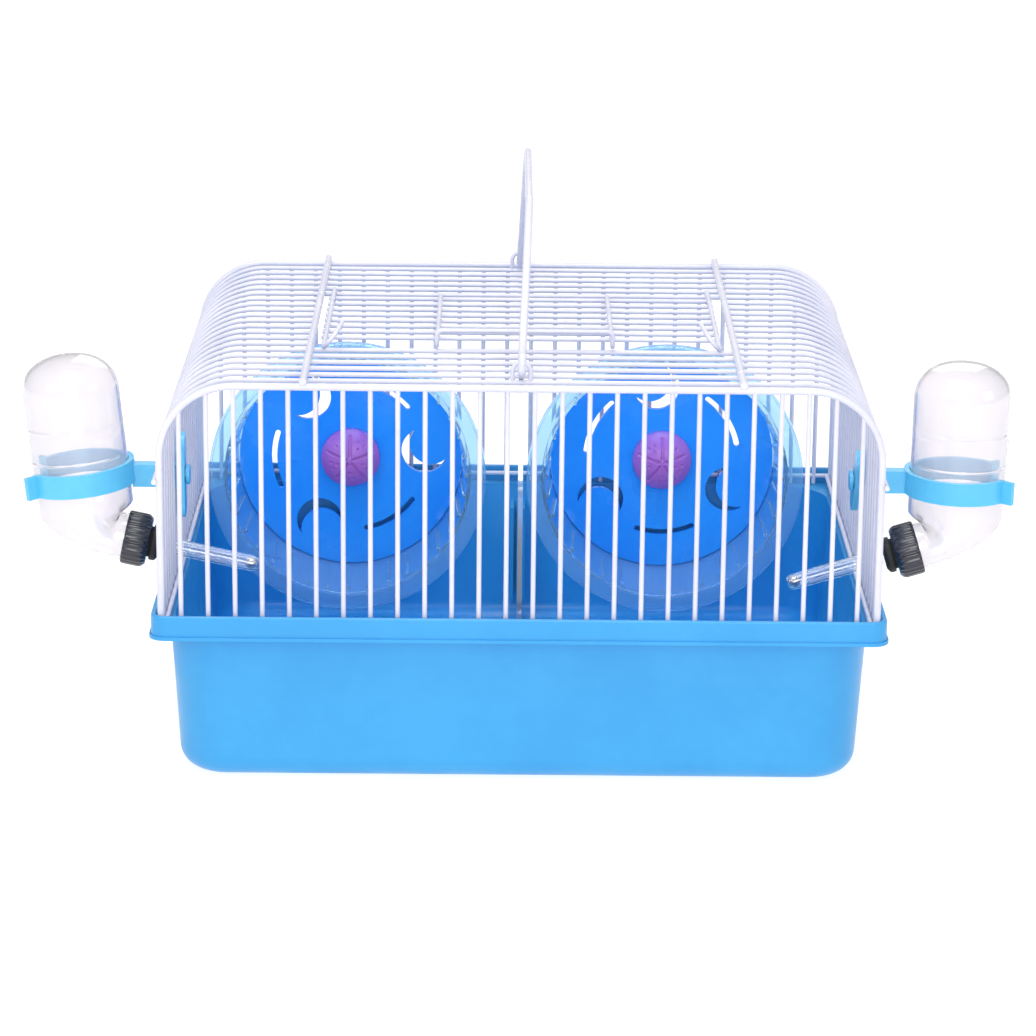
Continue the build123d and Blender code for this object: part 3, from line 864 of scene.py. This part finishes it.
@dataclass
class RunningWheel:
    """A clear drum with treads, its slotted disc, hub cap, axle and clamp."""

    side: Side
    finishes: Finishes
    flange_radius: float = 62.4
    drum_radius: float = 55.6
    wall: float = 1.6
    depth: float = 37.5
    treads: int = 36
    tread_height: float = 1.2
    disc_radius: float = 51.0
    cap_radius: float = 13.4
    cap_height: float = 9.5
    petals: int = 5
    groove_depth: float = 0.9
    dimple_depth: float = 0.55
    dimples: tuple[tuple[float, float], ...] = ((6.3, 0.0), (9.0, 0.16), (9.0, -0.16))

    def __post_init__(self) -> None:
        """Finds the wheel's axle in the frame."""
        word = self.side.word
        low, high = box_mm(f"{word}_wheel_drum")
        origin = Vector(((low.x + high.x) / 2, low.y, (low.z + high.z) / 2))
        self.place = own_frame(origin, Vector((1, 0, 0)), Vector((0, 1, 0)))
        self.body = f"{word}_wheel"

    def drum(self) -> bmesh.types.BMesh:
        """The drum's lathe form, with treads raised on the inner wall.

        Returns:
            The mesh being built.
        """
        inner, seat = self.drum_radius - self.wall, self.disc_radius + 0.4
        back, rim = self.depth, self.flange_radius
        outer_side = rounded([
            (rim, 0.0, 0.7),
            (rim, 3.0, 0.4),
            (rim - 1.2, 3.0, 0.4),
            (rim - 1.2, 1.6, 0.3),
            (self.drum_radius, 1.6, 0.8),
            (seat + self.wall, back, 0.3),
            (seat + self.wall, back + 4.0, 0.6),
            (self.disc_radius - 2.5, back + 4.0, 0.4),
            (self.disc_radius - 2.5, back + 2.5, 0.3),
            (seat, back + 2.5, 0.2),
            (seat, back, 0.2),
            (inner, 0.0, 0.5),
        ])
        # the inner wall's long run carries the treads, so it gets rows of its own
        turn = len(outer_side) - 5
        slope = (seat - inner) / back
        rows = [(30.4, 0.0), (30.0, 1.0), (29.0, 1.0), (5.0, 1.0), (4.0, 1.0), (3.6, 0.0)]
        wall_rows = [(inner + slope * height, height, share) for height, share in rows]
        profile = [(r, h, 0.0) for r, h in outer_side[:turn]] + wall_rows
        profile += [(r, h, 0.0) for r, h in outer_side[turn:]]
        half_pitch = 180 / self.treads
        offsets = [(-half_pitch, 0.0), (-0.95, 0.0), (-0.6, 1.0), (0.6, 1.0), (0.95, 0.0)]
        turns = [
            (math.radians(2 * half_pitch * tread + offset), share)
            for tread in range(self.treads)
            for offset, share in offsets
        ]
        rings = []
        for radius, height, raised in profile:
            ring = []
            for turn_angle, share in turns:
                size = radius - self.tread_height * raised * share
                ring.append(Vector((size * math.cos(turn_angle), size * math.sin(turn_angle), height)))
            rings.append(ring)
        return skin(rings, loop=True)

    def hub_cap(self) -> bmesh.types.BMesh:
        """The domed cap: petals parted by grooves, with three dimples in each.

        Returns:
            The mesh being built.
        """
        columns, rows = 240, 44
        rings = []
        for row in range(rows + 1):
            share = row / rows
            radius = 0.05 + (self.cap_radius - 0.05) * math.sin(share * math.pi / 2)
            fall = (radius / self.cap_radius) ** 2.6
            ring = []
            for column in range(columns):
                turn = math.tau * column / columns
                rise = self.cap_height * (1 - 0.62 * fall) - self.carve(radius, turn)
                ring.append(Vector((radius * math.cos(turn), -radius * math.sin(turn), -rise)))
            rings.append(ring)
        skirt = [(self.cap_radius, -2.6), (self.cap_radius, -0.3), (self.cap_radius - 0.5, 0.0), (8.0, 0.0)]
        rings += [circle_like(rings[-1], radius, height) for radius, height in skirt]
        rings += [circle_like(rings[-1], 8.0, -5.5), circle_like(rings[-1], 0.05, -5.5)]
        return skin(rings, capped=True)

    def carve(self, radius: float, turn: float) -> float:
        """Depth of the cap's pattern at a point.

        Args:
            radius: Distance from the middle.
            turn: Angle in radians.

        Returns:
            How far the surface lies under the plain dome.
        """
        sector = math.tau / self.petals
        off = (turn - math.radians(18) + sector / 2) % sector - sector / 2
        aside = abs(radius * math.sin(off))
        depth = self.groove_depth * smooth_drop(aside, 0.35, 0.8)
        depth *= 1 - smooth_drop(radius, 1.0, 2.0)
        depth *= smooth_drop(radius, 10.6, 11.8)
        middle = off - math.copysign(sector / 2, off)
        for dimple_radius, dimple_off in self.dimples:
            gap = math.hypot(radius - dimple_radius, radius * (middle - dimple_off))
            depth += self.dimple_depth * smooth_drop(gap, 0.35, 0.8)
        return depth

    def build(self) -> None:
        """Builds and dresses the wheel."""
        word, finishes = self.side.word, self.finishes
        drum = finish_mesh(f"{word}_running_drum", self.drum(), self.place, 50.0)
        settle(drum, self.body, Slot.DRUM, finishes.drum, f"{word}_wheel_drum")
        _, high = box_mm(f"{word}_hub_cap")
        seat = self.place.copy()
        seat.translation.y = high.y
        cap = finish_mesh(f"{word}_domed_cap", self.hub_cap(), seat, 60.0)
        settle(cap, self.body, Slot.HUB, finishes.hub, f"{word}_hub_cap")
        keep(finishes.disc, f"{word}_wheel_disc")
        keep(finishes.axle, f"{word}_wheel_axle")
        keep(finishes.hub, f"{word}_wheel_clamp", f"{word}_clamp_nut")


def smooth_drop(value: float, near: float, far: float) -> float:
    """One up to near, nothing past far, and a smooth slope between.

    Args:
        value: Where.
        near: End of the full part.
        far: Start of the empty part.

    Returns:
        The share, 1 to 0.
    """
    share = min(1.0, max(0.0, (value - near) / (far - near)))
    return 1 - share * share * (3 - 2 * share)


def circle_like(ring: Sequence[Vector], radius: float, height: float) -> list[Vector]:
    """A level ring with another ring's columns.

    Args:
        ring: The ring to follow.
        radius: The new radius.
        height: The new height.

    Returns:
        The points.
    """
    made = []
    for point in ring:
        flat = Vector((point.x, point.y, 0)).normalized() * radius
        made.append(Vector((flat.x, flat.y, height)))
    return made


@dataclass
class DrinkingBottle:
    """A clear bottle with its screw cap, stopper, tube and ball."""

    side: Side
    finishes: Finishes
    lean: float
    radius: float = 20.5
    wall: float = 1.2
    foot: float = -13.4
    top: float = 51.4
    dome: float = 16.0
    neck_at: tuple[float, float] = (11.75, -28.0)
    neck_slope: float = 18.0
    neck_radius: float = 10.0
    neck_length: float = 12.0
    tube_radius: float = 3.45
    tube_bore: float = 2.6
    tube_span: tuple[float, float] = (8.0, 61.0)
    ribs: int = 26
    marks: tuple[float, ...] = (22.5, 8.5)
    mark_height: float = 0.55
    crown_power: float = 2.3
    crown_rings: int = 18
    elbow_rings: int = 14
    elbow_pull: float = 0.8
    columns: int = 96

    def __post_init__(self) -> None:
        """Finds the bottle's own frame from the ring that holds it."""
        word, sign = self.side.word, self.side.value
        lean = math.radians(self.lean)
        low, high = box_mm(f"{word}_bottle")
        outer = max(abs(low.x), abs(high.x))
        straight_top = self.top - self.dome
        crown = (self.radius - self.dome) * math.cos(lean) + straight_top * math.sin(lean) + self.dome
        plate_low, plate_high = box_mm(f"{word}_lock_plate")
        middle = (plate_low + plate_high) / 2
        self.up = Vector((sign * math.sin(lean), 0, math.cos(lean)))
        self.inward = Vector((-sign * math.cos(lean), 0, math.sin(lean)))
        self.place = own_frame(Vector((sign * (outer - crown), middle.y, middle.z)), self.inward, self.up)
        slope = math.radians(self.neck_slope)
        along = self.inward * math.cos(slope) - self.up * math.sin(slope)
        root = self.place @ Vector((self.neck_at[0], 0, self.neck_at[1]))
        self.neck = own_frame(root, self.up.cross(self.inward), along)
        self.front = math.pi / 2 * sign

    def body_radius(self, height: float, turn: float) -> float:
        """The outer radius, with the raised measuring marks on the front.

        Args:
            height: Height in the bottle's frame.
            turn: Angle in radians.

        Returns:
            The radius.
        """
        off = abs((turn - self.front + math.pi) % math.tau - math.pi)
        window = smooth_drop(off, math.radians(58), math.radians(66))
        ridge = sum(smooth_drop(abs(height - mark), 0.1, 0.75) for mark in self.marks)
        return self.radius + self.mark_height * window * ridge

    def shell_rings(self, inset: float) -> list[list[Vector]]:
        """Rings from the crown, a flattened superellipse, down to the neck's mouth.

        Args:
            inset: How far inside the outer skin, 0 or the wall.

        Returns:
            The rings.
        """
        turns = [math.tau * number / self.columns for number in range(self.columns)]
        size = self.radius - inset
        rings = []
        for step in range(self.crown_rings):
            angle = math.pi / 2 * (0.015 + step / self.crown_rings * 0.985)
            across = size * math.sin(angle) ** (2 / self.crown_power)
            rise = (self.dome - inset) * math.cos(angle) ** (2 / self.crown_power)
            height = self.top - self.dome + rise
            rings.append(circle(across, height, self.columns))
        heights = [self.top - self.dome]
        for mark in self.marks:
            heights += [mark + offset for offset in (1.2, 0.75, 0.4, 0.1, -0.1, -0.4, -0.75, -1.2)]
        heights += [self.foot + 12, self.foot + 5, self.foot]
        for height in heights:
            ring = []
            for turn in turns:
                reach = self.body_radius(height, turn) if not inset else size
                ring.append(Vector((reach * math.cos(turn), reach * math.sin(turn), height)))
            rings.append(ring)
        rings += self.elbow(inset, turns)
        local = self.place.inverted() @ self.neck
        mouth = [local @ point for point in self.neck_ring(inset, self.neck_length, turns)]
        return [*rings, mouth]

    def neck_ring(self, inset: float, height: float, turns: Sequence[float]) -> list[Vector]:
        """A ring of the neck in the neck's frame, in step with the body's columns.

        Args:
            inset: How far inside the outer skin.
            height: Distance along the neck.
            turns: The columns' angles in the bottle's frame.

        Returns:
            The points.
        """
        size = self.neck_radius - inset
        # the column that faces inward on the body becomes the top of the neck
        return [Vector((size * math.sin(turn), size * math.cos(turn), height)) for turn in turns]

    def elbow(self, inset: float, turns: Sequence[float]) -> list[list[Vector]]:
        """Rings that carry the round body over into the slanted neck.

        Args:
            inset: How far inside the outer skin.
            turns: The columns' angles.

        Returns:
            The rings.
        """
        local = self.place.inverted() @ self.neck
        along = (local.to_3x3() @ Vector((0, 0, 1))).normalized()
        size = self.radius - inset
        ends = [local @ point for point in self.neck_ring(inset, 0.0, turns)]
        rings = []
        for step in range(1, self.elbow_rings + 1):
            share = step / self.elbow_rings
            ring = []
            for turn, end in zip(turns, ends):
                start = Vector((size * math.cos(turn), size * math.sin(turn), self.foot))
                pull = self.elbow_pull * (end - start).length
                ring.append(hermite(start, Vector((0, 0, -pull)), end, along * pull, share))
            rings.append(ring)
        return rings

    def bottle(self) -> bmesh.types.BMesh:
        """The blown bottle, open at its neck.

        Returns:
            The mesh being built.
        """
        outside = self.shell_rings(0.0)
        inside = self.shell_rings(self.wall)
        return skin(outside + inside[::-1], capped=True)

    def cap(self) -> bmesh.types.BMesh:
        """The screw cap, with grip ribs round its skirt.

        Returns:
            The mesh being built.
        """
        bore, skirt = self.neck_radius + 0.06, self.neck_radius + 1.4
        outline = [
            (bore, 3.5, 0.0), (skirt - 0.6, 3.5, 0.0), (skirt - 0.15, 3.9, 1.0), (skirt, 4.6, 1.0),
            (skirt, 11.6, 1.0), (skirt - 0.3, 12.4, 1.0), (skirt - 1.0, 13.4, 0.0), (skirt - 1.7, 14.0, 0.0),
            (6.9, 14.0, 0.0), (6.5, 13.7, 0.0), (6.5, 12.2, 0.0), (bore, 12.2, 0.0),
        ]
        per_rib = 8
        columns = self.ribs * per_rib
        rings = []
        for radius, height, ribbed in outline:
            ring = []
            for column in range(columns):
                turn = math.tau * column / columns
                dip = 0.5 * ribbed * (0.5 - 0.5 * math.cos(math.tau * column / per_rib)) ** 2
                size = radius - dip
                ring.append(Vector((size * math.cos(turn), size * math.sin(turn), height)))
            rings.append(ring)
        return skin(rings, loop=True)

    def stopper(self) -> bmesh.types.BMesh:
        """The rubber stopper round the tube.

        Returns:
            The mesh being built.
        """
        bore = self.tube_radius
        return lathe(rounded([
            (bore, 9.5, 0.0), (6.5, 9.5, 0.4), (6.5, 15.0, 0.2), (7.6, 15.0, 0.5),
            (7.6, 17.5, 0.7), (5.6, 18.8, 0.7), (bore, 18.8, 0.2),
        ]))

    def tube(self) -> bmesh.types.BMesh:
        """The drinking tube, drawn in at its mouth.

        Returns:
            The mesh being built.
        """
        start, end = self.tube_span
        outer, bore = self.tube_radius, self.tube_bore
        return lathe(rounded([
            (bore, start, 0.2), (outer, start, 0.3), (outer, end - 2.4, 1.0), (outer - 0.45, end - 0.6, 0.7),
            (outer - 0.95, end, 0.3), (bore - 0.4, end, 0.2), (bore - 0.4, end - 0.8, 0.2),
            (bore, end - 1.8, 0.3),
        ]), 64)

    def build(self) -> None:
        """Builds and dresses the bottle and its cap."""
        word, finishes = self.side.word, self.finishes
        bottle = finish_mesh(f"{word}_clear_bottle", self.bottle(), self.place, 60.0)
        settle(bottle, f"{word}_bottle", Slot.BOTTLE, finishes.bottle, f"{word}_bottle")
        cap = finish_mesh(f"{word}_screw_cap", self.cap(), self.neck, 50.0)
        settle(cap, f"{word}_cap", Slot.CAP, finishes.cap, f"{word}_bottle_cap")
        stopper = finish_mesh(f"{word}_rubber_stopper", self.stopper(), self.neck)
        settle(stopper, f"{word}_cap", Slot.STOPPER, finishes.stopper, f"{word}_stopper")
        tube = finish_mesh(f"{word}_clear_tube", self.tube(), self.neck, 60.0)
        settle(tube, f"{word}_cap", Slot.TUBE, finishes.tube, f"{word}_drinking_tube")
        keep(finishes.ball, f"{word}_tube_ball")
        keep(finishes.holder, f"{word}_bottle_holder", f"{word}_lock_plate")


def hermite(start: Vector, leave: Vector, end: Vector, arrive: Vector, share: float) -> Vector:
    """A point on a smooth curve between two points.

    Args:
        start: Its start.
        leave: Its direction and pull at the start.
        end: Its end.
        arrive: Its direction and pull at the end.
        share: How far along, 0 to 1.

    Returns:
        The point.
    """
    square, cube = share**2, share**3
    return (
        start * (2 * cube - 3 * square + 1)
        + leave * (cube - 2 * square + share)
        + end * (3 * square - 2 * cube)
        + arrive * (cube - square)
    )


@dataclass
class Studio:
    """Pale floor, soft light and the camera."""

    eye_at: tuple[float, float, float] = (-0.00845, -1.60851, 0.54534)
    lens: float = 133.67
    pitch: float = 16.085
    yaw: float = 0.29
    roll: float = 0.5825
    floor_radius: float = 9.0
    floor_columns: int = 96
    floor_glow: float = 0.82
    surround: float = 0.62
    lights: Sequence[tuple[str, Colour, float, float]] = field(default_factory=lambda: (
        ("overhead_softbox", (-0.15, -0.35, 1.5), 0.9, 13.0),
        ("left_softbox", (-1.5, -1.3, 1.1), 0.7, 6.5),
        ("right_softbox", (1.7, -0.9, 0.9), 0.8, 4.0),
        ("front_softbox", (0.1, -1.9, 0.5), 0.9, 12.0),
        ("back_softbox", (0.2, 1.7, 1.2), 1.2, 4.0),
    ))

    def floor(self) -> None:
        """Lays the floor under the object."""
        low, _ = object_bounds()
        rings = [circle(radius, 0.0, self.floor_columns) for radius in (0.02, 0.5, 2.0, self.floor_radius)]
        build = skin(rings)
        build.faces.new(build.verts[:self.floor_columns])
        mesh = bpy.data.meshes.new("studio_floor")
        build.to_mesh(mesh)
        build.free()
        mesh.transform(Matrix.Translation((0, 0, low.z)))
        ground = bpy.data.objects.new("studio_floor", mesh)
        bpy.context.scene.collection.objects.link(ground)
        material, sheet, shader, _ = new_finish("pale_floor")
        sheet.feed(shader, Base_Color=(0.36, 0.357, 0.357, 1.0), Roughness=0.9, Specular_IOR_Level=0.1)
        sheet.feed(shader, Emission_Color=(1.0, 0.995, 0.995, 1.0), Emission_Strength=self.floor_glow)
        dress(ground, material)
        ground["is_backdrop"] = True

    def light(self) -> None:
        """Hangs the softboxes and sets the surrounding light."""
        for name, place, size, power in self.lights:
            lamp = bpy.data.lights.new(name, "AREA")
            lamp.size = size
            lamp.energy = power
            lamp_object = bpy.data.objects.new(name, lamp)
            lamp_object.location = place
            aim = Vector((0, 0, 0.1)) - Vector(place)
            lamp_object.rotation_euler = aim.to_track_quat("-Z", "Y").to_euler()
            bpy.context.scene.collection.objects.link(lamp_object)
        world = bpy.data.worlds.new("studio_surround")
        world.use_nodes = True
        surround = world.node_tree.nodes["Background"]
        surround.inputs["Color"].default_value = (0.97, 0.975, 1.0, 1.0)
        surround.inputs["Strength"].default_value = self.surround
        bpy.context.scene.world = world

    def camera(self) -> None:
        """Sets the camera."""
        pitch, yaw = math.radians(self.pitch), math.radians(self.yaw)
        ahead = Vector((
            math.sin(yaw) * math.cos(pitch), math.cos(yaw) * math.cos(pitch), -math.sin(pitch),
        ))
        lens = bpy.data.cameras.new("studio_camera")
        lens.lens = self.lens
        lens.sensor_width = 36.0
        lens.clip_end = 40.0
        eye = bpy.data.objects.new("studio_camera", lens)
        turn = ahead.to_track_quat("-Z", "Y").to_matrix() @ Matrix.Rotation(math.radians(self.roll), 3, "Z")
        eye.matrix_world = turn.to_4x4()
        eye.location = self.eye_at
        bpy.context.scene.collection.objects.link(eye)
        bpy.context.scene.camera = eye
        bpy.context.scene.view_settings.view_transform = "Standard"

    def build(self) -> None:
        """Sets up the studio."""
        self.floor()
        self.light()
        self.camera()
        LOG.info("studio ready")


def main() -> None:
    """Builds the cage's looks, sub-assembly by sub-assembly."""
    logging.basicConfig(level=logging.INFO, format="%(name)s: %(message)s")
    finishes = Finishes(Effects())
    Base(finishes).build()
    WireTop(finishes).build()
    RoofDoor(finishes).build()
    CarryingHandle(finishes).build()
    leans = {Side.LEFT: 6.0, Side.RIGHT: 1.0}
    for side in Side:
        RunningWheel(side, finishes).build()
        DrinkingBottle(side, finishes, leans[side]).build()
    Studio().build()


if __name__ == "__main__":
    main()
